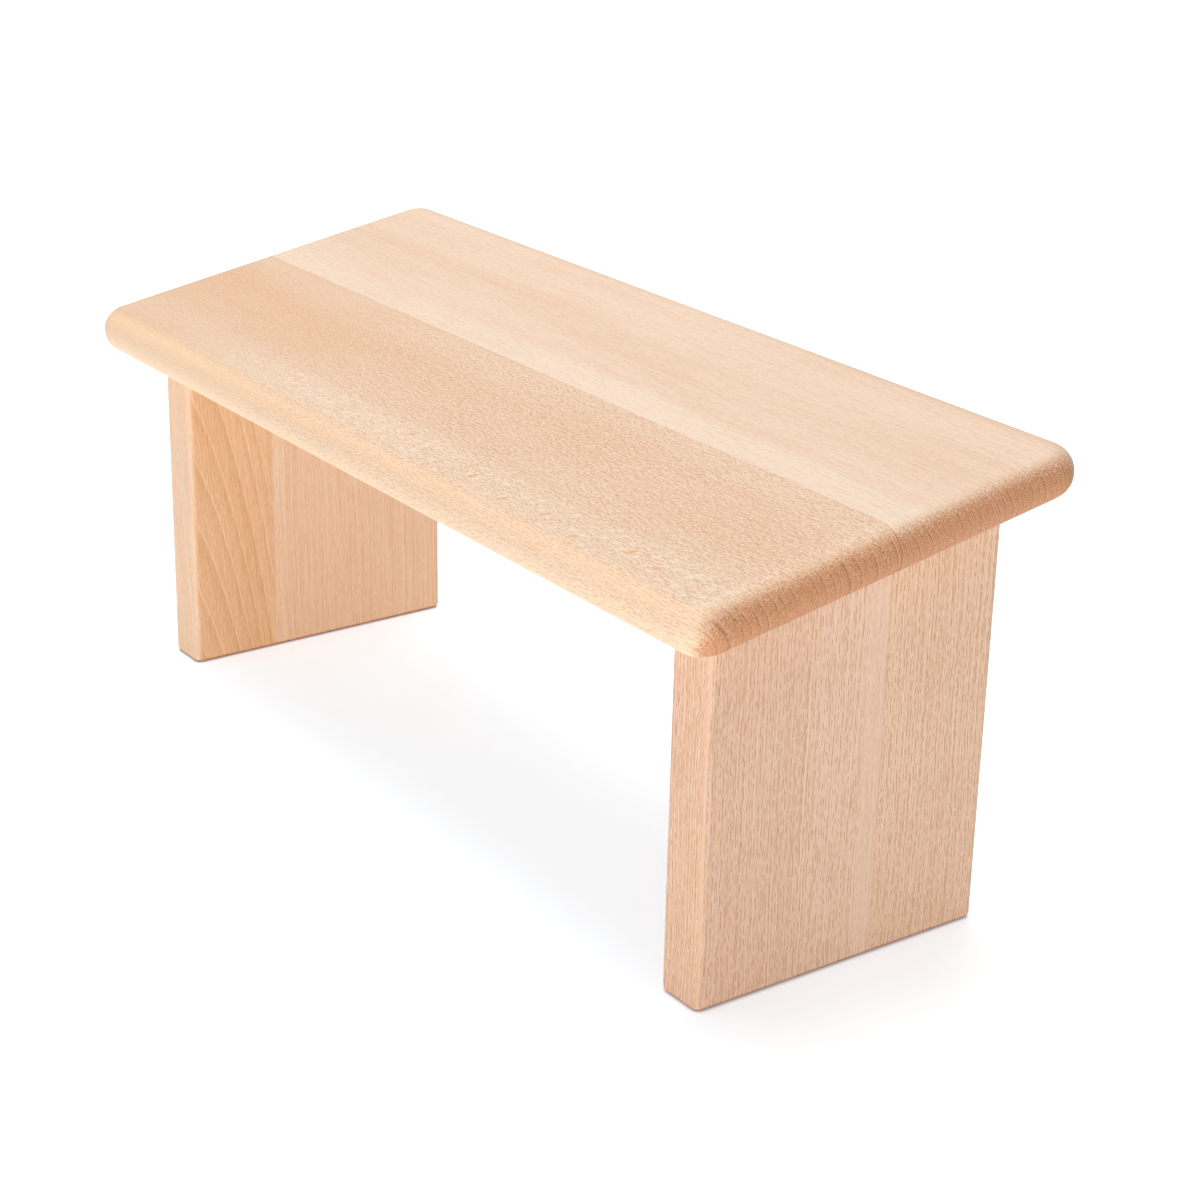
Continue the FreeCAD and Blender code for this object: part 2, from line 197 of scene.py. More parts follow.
# Flecks: where their pattern starts, their cells, their half sizes and their angle from the fibres. Both
# kinds run through the whole thickness.
DARK_FLECK = {
    "turn": 17.9,
    "cell": (24 * MM, 14 * MM, 500 * MM),
    "half": (3.6 * MM, 1.2 * MM, 1000 * MM),
    "angle": -66,
}
PALE_FLECK = {
    "turn": 23.3,
    "cell": (7 * MM, 4 * MM, 500 * MM),
    "half": (2.6 * MM, 1.3 * MM, 1000 * MM),
    "angle": -35,
}

# Distances from the glue line: where the dashes are plainer beside it, and its own half width
BESIDE_GLUE = (13 * MM, 7 * MM)
GLUE_LINE = (0.5 * MM, 0.1 * MM)

BEECH_ROUGHNESS = 0.55
DASH_ROUGHNESS = 0.12
END_GRAIN_ROUGHNESS = 0.15
BEECH_BUMP = (0.08 * MM, 0.5)
BEECH_SHINE = 0.3
UNDERSIDE_SHADE_AS_END_GRAIN = 0.9  # how much further the end grain's brown reaches on an edge that is rounded underneath, as painted shade there
CORNER_PALENESS = 0.3  # how much less of it shows round a corner
SIDE_QUIETNESS = 0.85  # how much less the rings show on a board's quiet sides

BEECH_INPUTS = {
    "Place": ("Vector", None),
    "Across Fibres": ("Float", 0.0),
    "Roundness": ("Float", 0.0),
    "Along Rays": ("Float", 0.0),
    "From Glue": ("Float", 1.0),
    "Figure": ("Float", 1.0),
    "Ring Show": ("Float", 1.0),
    "Seed": ("Float", 0.0),
    "Sway": ("Float", 3 * MM),
    "Ring Width": ("Float", 3 * MM),
    "Dark Ring Depth": ("Float", 0.2),
    "Pale Ring Depth": ("Float", 0.0),
    "Band Width": ("Float", 5 * MM),
    "Band Depth": ("Float", 0.3),
    "Cloud Depth": ("Float", 0.3),
    "Fibre Length": ("Float", 40 * MM),
    "Fibre Width": ("Float", 0.8 * MM),
    "Fibre Depth": ("Float", 0.3),
    "Grain Depth": ("Float", 0.15),
    "Wander": ("Float", 0.8 * MM),
    "Column Length": ("Float", 60 * MM),
    "Dash Length": ("Float", 4 * MM),
    "Dash Width": ("Float", 0.9 * MM),
    "Dash Depth": ("Float", 0.5),
    "Pale Dash Depth": ("Float", 0.3),
    "Glue Band Width": ("Float", 10 * MM),
    "Glue Band Depth": ("Float", 0.0),
    "Glue Plainness": ("Float", 0.0),
    "Deep Band Reach": ("Float", 35 * MM),
    "Deep Band Width": ("Float", 25 * MM),
    "Deep Band Depth": ("Float", 0.0),
    "Fleck Reach": ("Float", 75 * MM),
    "Fleck Width": ("Float", 9 * MM),
    "Fleck Depth": ("Float", 0.0),
    "Fleck Paleness": ("Float", 0.0),
    "Plain Depth": ("Float", 0.0),
    "Side Paleness": ("Float", 0.0),
    # Edge Depth, Edge Plainness, Edge Fade and Edge Wood give the round edges a painted highlight
    "Edge Depth": ("Float", 0.5),
    "Edge Plainness": ("Float", 0.45),
    "Edge Fade": ("Float", 0.0),
    "Honey Depth": ("Float", 0.0),
    "Pale Wood": ("Color", tint(0.85, 0.68, 0.54)),
    "Mid Wood": ("Color", tint(0.8, 0.6, 0.45)),
    "Deep Wood": ("Color", tint(0.7, 0.47, 0.32)),
    "Ray Wood": ("Color", tint(0.5, 0.28, 0.15)),
    "Fleck Wood": ("Color", tint(0.74, 0.42, 0.19)),
    "Edge Wood": ("Color", tint(0.85, 0.66, 0.48)),
    "Honey Wood": ("Color", tint(0.86, 0.62, 0.38)),
    "End Wood": ("Color", tint(0.6, 0.3, 0.15)),
    "End Deep Wood": ("Color", tint(0.4, 0.2, 0.1)),
}


def make_beech_group():
    """Solid beech about its pith: rings, fibres, ray dashes and fine grain run through the whole board."""
    outputs = {"Colour": "Color", "Roughness": "Float", "Height": "Float"}
    wires, given, result = new_group("beech", BEECH_INPUTS, outputs)
    shift = wires.joined(X=given["Seed"], Y=given["Seed"], Z=given["Seed"])

    def seeded(place, size, turn=0.0):
        moved = wires.vector("ADD", wires.scaled(place, size), shift)
        return wires.vector("ADD", moved, (turn, turn, turn))

    def centred(amount, depth):
        return wires.times(wires.minus(amount, 0.5), depth)

    def stretched(amount, depth):
        return centred(amount, wires.times(depth, NOISE_STRETCH))

    # The fibres wander a little on their way along the board
    sway = wires.noise(seeded(given["Place"], SWAY_CELL), detail=1.0, output="Color")
    sway = wires.vector("SUBTRACT", sway, (0.5, 0.5, 0.5))
    sway = wires.vector("MULTIPLY", sway, wires.joined(Y=given["Sway"], Z=given["Sway"]))
    place = wires.vector("ADD", given["Place"], sway)
    part = wires.split(place)
    squares = wires.plus(wires.times(part["Y"], part["Y"]), wires.times(part["Z"], part["Z"]))
    reach = wires.of_one("SQRT", squares)
    polar = wires.joined(X=part["X"], Y=reach)

    # Growth rings of uneven width: each year darkens slowly and ends in a thin dark or pale line
    uneven = wires.noise(seeded(polar, YEARS_CELL), detail=1.0)
    years = wires.plus(wires.over(reach, given["Ring Width"]), wires.times(uneven, YEARS_UNEVENNESS))
    season = wires.of_one("FRACT", years)
    late = wires.hump(season, *LATE_WOOD)
    ring_line = wires.hump(season, *YEAR_END)
    ring_start = wires.hump(season, *YEAR_START)
    year = wires.node("TexWhiteNoise", {"W": wires.of_one("FLOOR", years)}, noise_dimensions="1D")
    year_tone = year.outputs["Value"]

    # Bands follow the rings, clouds don't, fibres are fine lines along the board, and grain is finer yet
    band_size = wires.joined(X=BAND_LENGTH, Y=given["Band Width"], Z=1.0)
    bands = wires.noise(seeded(polar, band_size), detail=3.0, roughness=0.6)
    clouds = wires.noise(seeded(place, CLOUD_CELL))
    fibre_size = wires.joined(X=given["Fibre Length"], Y=given["Fibre Width"], Z=given["Fibre Width"])
    fibres = wires.noise(seeded(place, fibre_size), detail=1.0)
    grain = wires.noise(seeded(place, GRAIN_CELL, turn=7.7), detail=0.0)

    # Rays are thin sheets that slant through the board and end on its faces as dashes, one behind the other
    # in columns that wander a little: dark where they end, pale where the fibres part round them, and faint
    # on a round edge that lies along the sheets
    wander = wires.noise(seeded(place, WANDER_CELL, turn=3.3), detail=0.0)
    slanted = wires.times(wires.plus(part["Y"], part["Z"]), math.sqrt(0.5))
    slanted = wires.plus(slanted, wires.times(wander, given["Wander"]))
    cut_through = wires.ramp(given["Along Rays"], *RAYS_LIE_FLAT, 0.1, 1.0)

    def dashes(turn, scale, half_line, gap, gap_tone):
        across = wires.over(slanted, wires.times(given["Dash Width"], scale))
        across = wires.plus(across, wires.plus(given["Seed"], turn))
        spot = wires.joined(X=wires.over(part["X"], given["Column Length"]), Y=across)
        inputs = {"Vector": spot, "Scale": 1.0, "Randomness": 0.8}
        columns = wires.node("TexVoronoi", inputs, voronoi_dimensions="2D").outputs
        off = wires.minus(across, wires.split(columns["Position"])["Y"])
        chance = wires.node("SeparateColor", {0: columns["Color"]}).outputs[0]
        along = wires.over(part["X"], wires.times(given["Dash Length"], scale))
        beat = wires.joined(X=along, Y=wires.times(chance, COLUMN_SPREAD))
        beat = wires.noise(beat, detail=0.0, dimensions="2D")
        core, rim = half_line
        line = wires.times(wires.ramp(wires.of_one("ABSOLUTE", off), rim, core), cut_through)
        return wires.times(line, wires.ramp(beat, gap - 0.05, gap + 0.1, gap_tone, 1.0))

    dark_dash = dashes(**DARK_DASH)
    pale_dash = dashes(**PALE_DASH)
    fine_dash = dashes(**FINE_DASH)

    # Where the board is cut along its rays, a row of them shows as broad flecks that lie across the fibres
    def flecks(turn, cell, half, angle):
        spot = seeded(place, cell, turn)
        spots = wires.node("TexVoronoi", {"Vector": spot, "Scale": 1.0}).outputs
        offset = wires.vector("MULTIPLY", wires.vector("SUBTRACT", spot, spots["Position"]), cell)
        turned = {"Vector": offset, "Axis": (0, 0, 1), "Angle": math.radians(angle)}
        offset = wires.node("VectorRotate", turned).outputs[0]
        off = wires.vector("LENGTH", wires.scaled(offset, half))
        share = wires.node("SeparateColor", {0: spots["Color"]}).outputs[0]
        return wires.times(wires.ramp(off, 1.0, 0.4), wires.ramp(share, 0.2, 0.8))

    dark_fleck = flecks(**DARK_FLECK)
    pale_fleck = flecks(**PALE_FLECK)

    # From pale through mid to deep wood, by bands, rings, clouds, fibres and grain
    tone = stretched(bands, given["Band Depth"])
    rings = wires.times(wires.plus(late, wires.times(year_tone, 0.5)), given["Ring Show"])
    tone = wires.plus(tone, wires.times(rings, given["Dark Ring Depth"]))
    tone = wires.plus(tone, stretched(clouds, given["Cloud Depth"]))
    tone = wires.plus(tone, stretched(fibres, given["Fibre Depth"]))
    tone = wires.plus(tone, stretched(grain, given["Grain Depth"]))
    pale_line = wires.times(ring_line, wires.times(given["Pale Ring Depth"], given["Ring Show"]))
    from_glue = wires.of_one("ABSOLUTE", given["From Glue"])

    def zone(reach, width):
        apart = wires.of_one("ABSOLUTE", wires.minus(from_glue, reach))
        return wires.ramp(wires.over(apart, width), 1.0, 0.2)

    deep_band = zone(given["Deep Band Reach"], given["Deep Band Width"])
    tone = wires.plus(tone, wires.times(deep_band, given["Deep Band Depth"]))
    glue_reach = wires.over(from_glue, given["Glue Band Width"])
    glue_band = wires.times(wires.ramp(glue_reach, 1.0, 0.55), given["Glue Band Depth"])
    tone = wires.minus(tone, wires.plus(pale_line, glue_band))

    # Deeper where the figure is weak, and paler on the board's sides and where the flecks lie
    fleck_zone = zone(given["Fleck Reach"], given["Fleck Width"])
    fleck_zone = wires.times(fleck_zone, wires.ramp(given["Figure"], 0.38, 0.65))
    fleck_zone = wires.times(fleck_zone, wires.ramp(given["Roundness"], 0.11, 0.02))
    plain = wires.times(wires.minus(1.0, given["Figure"]), given["Plain Depth"])
    side = wires.times(wires.minus(1.0, given["Ring Show"]), given["Side Paleness"])
    tone = wires.minus(wires.plus(tone, plain), side)
    tone = wires.minus(tone, wires.times(fleck_zone, given["Fleck Paleness"]))
    colour = wires.blend(wires.minus(0.0, tone, clamp=True), given["Mid Wood"], given["Pale Wood"])
    colour = wires.blend(wires.plus(tone, 0.0, clamp=True), colour, given["Deep Wood"])

    # Round edges are painted paler and yellower: a painted highlight along them, less so where the figure
    # is strong
    painted_highlight_edge = wires.ramp(given["Roundness"], 0.04, 0.25)
    edge_depth = wires.times(wires.ramp(given["Figure"], 0.4, 0.9), given["Edge Fade"])
    edge_depth = wires.times(wires.minus(1.0, edge_depth), given["Edge Depth"])
    colour = wires.blend(wires.times(painted_highlight_edge, edge_depth), colour, given["Edge Wood"])

    # Where such an edge begins, a honey-coloured streak runs along it
    begins = wires.hump(given["Roundness"], (0.01, 0.14), (0.75, 0.2))
    streak = wires.noise(seeded(place, HONEY_CELL, turn=9.4), detail=1.0)
    honey = wires.times(wires.times(begins, wires.ramp(streak, 0.35, 0.65)), given["Honey Depth"])
    honey = wires.times(honey, wires.ramp(given["Figure"], 1.05, 0.7))
    colour = wires.blend(honey, colour, given["Honey Wood"])

    # The dashes lie over the tones, and show less on the round edges under their painted highlight and
    # beside the glue
    shown = wires.minus(1.0, wires.times(painted_highlight_edge, given["Edge Plainness"]))
    shown = wires.times(given["Figure"], shown)
    beside_glue = wires.times(wires.ramp(from_glue, *BESIDE_GLUE), given["Glue Plainness"])
    shown = wires.times(wires.minus(1.0, beside_glue), shown)
    dash_depth = wires.times(given["Dash Depth"], shown)
    pale_depth = wires.times(given["Pale Dash Depth"], shown)
    fine_depth = wires.times(dash_depth, FINE_DASH_SHARE)
    fleck_depth = wires.times(fleck_zone, given["Fleck Depth"])
    for pattern, depth, wood in (
            (pale_dash, pale_depth, "Pale Wood"),
            (fine_dash, fine_depth, "Ray Wood"),
            (dark_dash, dash_depth, "Ray Wood"),
            (pale_fleck, fleck_depth, "Pale Wood"),
            (dark_fleck, fleck_depth, "Fleck Wood")):
        colour = wires.blend(wires.times(pattern, depth, clamp=True), colour, given[wood])

    # End grain drinks the oil: browner and speckled, with its rings closer to the eye
    speckle = wires.noise(seeded(place, SPECKLE_CELL, turn=5.1), detail=0.0)
    end = wires.ramp(wires.plus(given["Across Fibres"], centred(speckle, 0.5)), 0.35, 0.97)
    ring_gaps = wires.noise(seeded(place, RING_GAP_CELL, turn=2.7))
    ring_show = wires.ramp(ring_gaps, 0.35, 0.55, 0.3, 1.0)
    end_tone = wires.times(wires.times(ring_line, 0.9), ring_show)
    end_tone = wires.plus(end_tone, wires.times(wires.ramp(speckle, 0.45, 0.7), 0.4), clamp=True)
    end_colour = wires.blend(end_tone, given["End Wood"], given["End Deep Wood"])
    end_light = wires.times(wires.times(ring_start, 0.12), ring_show)
    end_light = wires.plus(end_light, wires.times(wires.ramp(speckle, 0.5, 0.3), 0.25), clamp=True)
    end_colour = wires.blend(end_light, end_colour, given["Mid Wood"])
    colour = wires.blend(end, colour, end_colour)

    # A thin line of glue at the joint, darker on end grain
    glue_line = wires.ramp(from_glue, *GLUE_LINE)
    glue_line = wires.times(glue_line, wires.ramp(end, 0.0, 0.5, 0.1, 0.6))
    colour = wires.blend(glue_line, colour, given["End Deep Wood"])
    wires.tree.links.new(colour, result["Colour"])

    rough = wires.plus(BEECH_ROUGHNESS, wires.times(dark_dash, DASH_ROUGHNESS))
    rough = wires.plus(rough, wires.times(end, END_GRAIN_ROUGHNESS))
    wires.tree.links.new(rough, result["Roughness"])
    dips = wires.times(wires.plus(dark_dash, wires.times(fine_dash, 0.6)), shown)
    height = wires.minus(wires.times(fibres, 0.6), dips)
    wires.tree.links.new(height, result["Height"])
    return wires.tree


BEECH = make_beech_group()


def beech(name, pith, turn, fibre_axis, side_axis, glue, figure=None, **choices):
    """One board's beech.

    Its pith is a place in the frame, and its turn lays X along the fibres, which run nearest to the
    frame's fibre axis. The rings show least on the sides that face along the side axis. The glue line is
    a direction square to the joint and the joint's distance that way. Figure gives the places along a
    direction where the dashes are weakest and strongest, and how weak they get.
    """
    material, wires = new_material(name)
    spot = wires.node("TexCoord").outputs
    inputs = {"Vector": spot["Object"], "Location": pith, "Rotation": turn.to_euler()}
    place = wires.node("Mapping", inputs, vector_type="TEXTURE").outputs[0]
    facing_up = wires.split(spot["Normal"])["Z"]
    facing = wires.split(wires.vector("ABSOLUTE", spot["Normal"]))

    # The seat is round wherever it isn't level, and a leg wherever it faces between two of its sides
    flat = facing["Z"]
    if fibre_axis != "X":
        flat = wires.of_two("MAXIMUM", facing["X"], wires.of_two("MAXIMUM", facing["Y"], facing["Z"]))
    square_to_joint, joint_reach = glue
    from_glue = wires.vector("DOT_PRODUCT", spot["Object"], square_to_joint)
    square_to_rays = turn.to_3x3() @ Vector((0, 1, 1)).normalized()
    along_rays = wires.vector("DOT_PRODUCT", spot["Normal"], square_to_rays)
    # Painted shade: beyond the real end grain, its brown reaches further round the edges that face down
    underneath = wires.of_two("MAXIMUM", wires.times(facing_up, -UNDERSIDE_SHADE_AS_END_GRAIN), 0.0)
    across = wires.times(facing[fibre_axis], wires.plus(underneath, 1.0))

    board = place_group(wires, BEECH, choices)
    changing = {
        "Place": place,
        "Across Fibres": wires.minus(across, wires.times(facing["Y"], CORNER_PALENESS)),
        "Roundness": wires.minus(1.0, flat),
        "Along Rays": wires.of_one("ABSOLUTE", along_rays),
        "From Glue": wires.minus(from_glue, joint_reach),
        "Ring Show": wires.minus(1.0, wires.times(facing[side_axis], SIDE_QUIETNESS)),
    }
    if figure:
        direction, weakest_at, strongest_at, weakest = figure
        along = wires.vector("DOT_PRODUCT", spot["Object"], direction)
        changing["Figure"] = wires.ramp(along, weakest_at, strongest_at, weakest, 1.0)
    for label, source in changing.items():
        wires.tree.links.new(source, board.inputs[label])
    finish_surface(wires, board, BEECH_BUMP, {"Specular IOR Level": BEECH_SHINE})
    return material


def seat_place(across, up):
    """A place in the seat's cross-section, from the foot of its glue line."""
    return GLUE_FOOT + SEAT_TURN.to_3x3() @ Vector((0, across, up))


def upright_turn(slant=0.0, lean=0.0):
    """Lays X up the leg, slanting to the rear and leaning to the left by angles in degrees, with the rays
    square to the leg's front arris."""
    upright = Matrix.Rotation(math.radians(-90), 4, "Y") @ Matrix.Rotation(math.radians(90), 4, "X")
    slanted = Matrix.Rotation(math.radians(-slant), 4, "X")
    return slanted @ Matrix.Rotation(math.radians(-lean), 4, "Y") @ upright


# Brass

# Sizes of its patterns along the three axes
ROLLING_CELL = (0.25 * MM, 9 * MM, 0.25 * MM)
TARNISH_CELL = (7 * MM, 7 * MM, 7 * MM)
MARK_CELL = (0.8 * MM, 0.8 * MM, 0.8 * MM)

BRASS_ROUGHNESS = 0.24
ROLLING_ROUGHNESS = 0.14
TARNISH_ROUGHNESS = 0.25
BRASS_BUMP = (0.02 * MM, 0.4)

BRASS_INPUTS = {
    "Place": ("Vector", None),
    "Bright": ("Color", tint(0.78, 0.57, 0.25)),
    "Dull": ("Color", tint(0.5, 0.34, 0.14)),
    "Tarnish": ("Float", 0.4),
}


def make_brass_group():
    """Rolled brass: fine lines along the roll, a slight tarnish, and small handling marks."""
    outputs = {"Colour": "Color", "Roughness": "Float", "Height": "Float"}
    wires, given, result = new_group("rolled_brass", BRASS_INPUTS, outputs)
    lines = wires.noise(wires.scaled(given["Place"], ROLLING_CELL))
    patches = wires.noise(wires.scaled(given["Place"], TARNISH_CELL), detail=4.0)
    marks = wires.noise(wires.scaled(given["Place"], MARK_CELL))
    dull = wires.times(wires.ramp(patches, 0.4, 0.68), given["Tarnish"])
    dull = wires.plus(dull, wires.times(wires.ramp(marks, 0.58, 0.72), 0.2), clamp=True)
    wires.tree.links.new(wires.blend(dull, given["Bright"], given["Dull"]), result["Colour"])
    rough = wires.plus(BRASS_ROUGHNESS, wires.times(lines, ROLLING_ROUGHNESS))
    rough = wires.plus(rough, wires.times(dull, TARNISH_ROUGHNESS))
    wires.tree.links.new(rough, result["Roughness"])
    wires.tree.links.new(wires.minus(lines, wires.times(dull, 0.3)), result["Height"])
    return wires.tree


BRASS = make_brass_group()


def brass(name, **choices):
    material, wires = new_material(name)
    metal = place_group(wires, BRASS, choices)
    wires.tree.links.new(wires.node("TexCoord").outputs["Object"], metal.inputs["Place"])
    finish_surface(wires, metal, BRASS_BUMP, {"Metallic": 1.0})
    return material


def dress(node, material):
    """Gives a node of the frame its material."""
    for slot in frame["nodes"][node].material_slots:
        slot.material = material


# Boards

left_front_low, left_front_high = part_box("left_leg_front_stave")
right_front_low, right_front_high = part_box("right_leg_front_stave")
SEAT_ACROSS = SEAT_TURN.to_3x3() @ Vector((0, 1, 0))
SEAT_GLUE = (SEAT_ACROSS, GLUE_FOOT.dot(SEAT_ACROSS))
LEFT_GLUE = (Vector((0, 1, 0)), left_front_high.y)
RIGHT_GLUE = (Vector((0, 1, 0)), right_front_high.y)
RAY_WOOD = tint(0.60, 0.31, 0.14)
LEG_RAY_WOOD = tint(0.58, 0.28, 0.15)
END_GRAIN = {"end_wood": tint(0.63, 0.285, 0.135), "end_deep_wood": tint(0.42, 0.16, 0.065)}

dress("seat_front_board", beech(
    "seat_front_beech", seat_place(-108 * MM, -3 * MM), SEAT_TURN, "X", "Z", SEAT_GLUE,
    figure=(Vector((1, 0, 0)), -190 * MM, 40 * MM, 0.35),
    seed=3.1, ring_width=3.9 * MM, dark_ring_depth=0.08,
    band_width=8 * MM, band_depth=0.1, cloud_depth=0.25,
    fibre_length=6 * MM, fibre_width=0.6 * MM, fibre_depth=0.2, grain_depth=0.35,
    column_length=2.2 * MM, dash_length=1.9 * MM, dash_width=1.2 * MM, dash_depth=0.75,
    pale_dash_depth=0.75,
    deep_band_reach=36 * MM, deep_band_width=32 * MM, deep_band_depth=0.35,
    fleck_reach=73 * MM, fleck_width=15 * MM, fleck_depth=0.9, fleck_paleness=0.5,
    plain_depth=0.55, edge_depth=0.75, edge_plainness=0.25, edge_fade=0.15, honey_depth=0.6,
    pale_wood=tint(0.88, 0.71, 0.56), mid_wood=tint(0.81, 0.60, 0.44),
    deep_wood=tint(0.75, 0.465, 0.287), edge_wood=tint(0.93, 0.66, 0.44),
    ray_wood=RAY_WOOD, **END_GRAIN))
dress("seat_rear_board", beech(
    "seat_rear_beech", seat_place(-70 * MM, -12 * MM), SEAT_TURN, "X", "Z", SEAT_GLUE,
    seed=7.7, ring_width=2.8 * MM, dark_ring_depth=0.1,
    band_width=9 * MM, band_depth=0.25, cloud_depth=0.3,
    fibre_width=0.65 * MM, fibre_depth=0.25, grain_depth=0.15,
    column_length=8 * MM, dash_length=4 * MM, dash_width=1.4 * MM, dash_depth=0.22,
    pale_dash_depth=0.35,
    glue_band_width=20 * MM, glue_band_depth=0.5,
    deep_band_reach=42 * MM, deep_band_width=22 * MM, deep_band_depth=0.35,
    pale_wood=tint(0.88, 0.72, 0.58), mid_wood=tint(0.83, 0.625, 0.47),
    deep_wood=tint(0.76, 0.51, 0.36), edge_wood=tint(0.88, 0.67, 0.49),
    ray_wood=RAY_WOOD, **END_GRAIN))
dress("left_leg_front_stave", beech(
    "left_front_beech", Vector((left_front_low.x - 82 * MM, left_front_low.y - 21 * MM, 75 * MM)),
    upright_turn(0, 5.7), "Z", "Y", LEFT_GLUE,
    seed=11.3, sway=1.5 * MM, ring_width=3.1 * MM, dark_ring_depth=0.65, pale_ring_depth=0.6,
    band_depth=0.12, cloud_depth=0.15, fibre_depth=0.3,
    dash_length=4 * MM, dash_width=1.3 * MM, dash_depth=0.3, pale_dash_depth=0.25,
    side_paleness=0.8,
    pale_wood=tint(0.89, 0.65, 0.47), mid_wood=tint(0.82, 0.49, 0.275),
    deep_wood=tint(0.73, 0.39, 0.187),
    ray_wood=RAY_WOOD, **END_GRAIN))
dress("left_leg_rear_stave", beech(
    "left_rear_beech", Vector((left_front_low.x - 60 * MM, left_front_high.y - 20 * MM, 0)),
    upright_turn(-1), "Z", "Y", LEFT_GLUE,
    seed=15.9, ring_width=3.0 * MM, dark_ring_depth=0.15, pale_ring_depth=0.2,
    band_depth=0.18, cloud_depth=0.15,
    fibre_length=60 * MM, fibre_width=0.7 * MM, fibre_depth=0.45,
    dash_length=6 * MM, dash_width=1.3 * MM, dash_depth=0.3, pale_dash_depth=0.35,
    glue_band_width=8 * MM, glue_band_depth=0.4,
    pale_wood=tint(0.88, 0.64, 0.455), mid_wood=tint(0.82, 0.53, 0.347),
    deep_wood=tint(0.74, 0.435, 0.255),
    ray_wood=RAY_WOOD, **END_GRAIN))
dress("right_leg_front_stave", beech(
    "right_front_beech", Vector((right_front_low.x - 55 * MM, right_front_low.y + 30 * MM, 0)),
    upright_turn(), "Z", "Y", RIGHT_GLUE,
    seed=21.4, ring_width=3.2 * MM, dark_ring_depth=0.1,
    band_width=3.5 * MM, band_depth=0.12, cloud_depth=0.12,
    fibre_length=60 * MM, fibre_width=0.65 * MM, fibre_depth=0.3, grain_depth=0.2,
    dash_length=4 * MM, dash_width=1.0 * MM, dash_depth=0.85, pale_dash_depth=0.75,
    glue_band_width=45 * MM, glue_band_depth=0.6, glue_plainness=0.6,
    side_paleness=-0.45, edge_depth=0.0, edge_plainness=0.7,
    pale_wood=tint(0.87, 0.625, 0.465), mid_wood=tint(0.795, 0.525, 0.365),
    deep_wood=tint(0.695, 0.41, 0.257),
    ray_wood=LEG_RAY_WOOD, **END_GRAIN))
dress("right_leg_rear_stave", beech(
    "right_rear_beech", Vector((right_front_low.x - 60 * MM, right_front_high.y + 40 * MM, 0)),
    upright_turn(), "Z", "Y", RIGHT_GLUE,
    seed=27.2, ring_width=3.2 * MM, dark_ring_depth=0.1,
    band_width=6 * MM, band_depth=0.1, cloud_depth=0.12,
    fibre_length=30 * MM, fibre_width=0.65 * MM, fibre_depth=0.25, grain_depth=0.2,
    dash_length=3.6 * MM, dash_width=1.1 * MM, dash_depth=0.8, pale_dash_depth=0.7,
    edge_depth=0.0, edge_plainness=0.7,
    pale_wood=tint(0.91, 0.66, 0.48), mid_wood=tint(0.84, 0.56, 0.38),
    deep_wood=tint(0.73, 0.43, 0.26),
    ray_wood=LEG_RAY_WOOD, **END_GRAIN))

# Hinges and screws

hinge_brass = brass("hinge_brass", bright=tint(0.72, 0.48, 0.18), dull=tint(0.46, 0.29, 0.1), tarnish=0.5)
pin_brass = brass("pin_brass", bright=tint(0.66, 0.44, 0.17), dull=tint(0.4, 0.25, 0.1), tarnish=0.6)
screw_brass = brass("screw_brass", bright=tint(0.75, 0.52, 0.22), dull=tint(0.46, 0.3, 0.12), tarnish=0.35)
HINGE_FINISHES = {
    "seat_leaf": hinge_brass,
    "leg_leaf": hinge_brass,
    "pin": pin_brass,
    "seat_screws": screw_brass,
    "leg_screws": screw_brass,
}
for side in ("left", "right"):
    for position in ("front", "rear"):
        for ending, finish in HINGE_FINISHES.items():
            dress("%s_%s_hinge_%s" % (side, position, ending), finish)

# Studio

FLOOR_WIDTH = 12
FLOOR_ROUGHNESS = 0.8
FLOOR_GLOSS = 0.1

# The floor's paint and glow: as seen near the bench, as seen far from it, and as they shine on it
FLOOR_NEAR_PAINT = tint(0.81, 0.90, 0.97)
FLOOR_FAR_PAINT = tint(0.84, 0.84, 0.84)
FLOOR_CAST_PAINT = tint(0.80, 0.87, 0.935)
FLOOR_NEAR_SHINE = tint(0.985, 1.065, 1.15)
FLOOR_FAR_SHINE = tint(1.03, 1.03, 1.03)
FLOOR_CAST_SHINE = tint(0.87, 0.87, 0.86)
FLOOR_GLOW = 0.48
FAR_GLOW = 1.0

# Distances from the floor's middle over which the paint turns from near to far, and the glow rises
BESIDE_BENCH = 0.15
CLEAR_OF_BENCH = 0.3
GLOW_STARTS = 0.4
FAR_AWAY = 1.0

# A painted contact shadow: the glow is dimmed this near a foot, down to this share, while this much of the
# sky above is open
CONTACT_REACH = 2.5 * MM
CONTACT_SHADOW_GLOW = 0.1
CONTACT_SKY = (0.2, 0.8)

# Softboxes: place, width, height and power. All three point at the middle of the bench.
OVERHEAD_SOFTBOX = ((-0.33, 0.12, 1.9), 1.4, 1.4, 31.5)
FRONT_SOFTBOX = ((-1.1, -1.6, 1.2), 1.2, 1.2, 2.7)
FILL_SOFTBOX = ((1.38, -1.55, 0.42), 1.4, 0.9, 22.4)
BENCH_MIDDLE = Vector((0, 0, 0.1))
SKY_STRENGTH = 0.19

# Camera, as the photograph was taken; its angles are in degrees
CAMERA_TARGET = Vector((0.78, 35.02, 71.71)) * MM
CAMERA_AZIMUTH = 53.995
CAMERA_ELEVATION = 21.505
CAMERA_ROLL = 1.302
CAMERA_DISTANCE = 1130.5 * MM
CAMERA_LENS = 79.09
SENSOR_WIDTH = 36
CAMERA_CLIP = 100


def make_floor(width, material):
    mesh = bmesh.new()
    bmesh.ops.create_grid(mesh, x_segments=1, y_segments=1, size=width / 2)
    data = bpy.data.meshes.new("studio_floor")
    mesh.to_mesh(data)
    mesh.free()
    data.materials.append(material)
    floor = bpy.data.objects.new("studio_floor", data)
    bpy.context.scene.collection.objects.link(floor)
    return floor


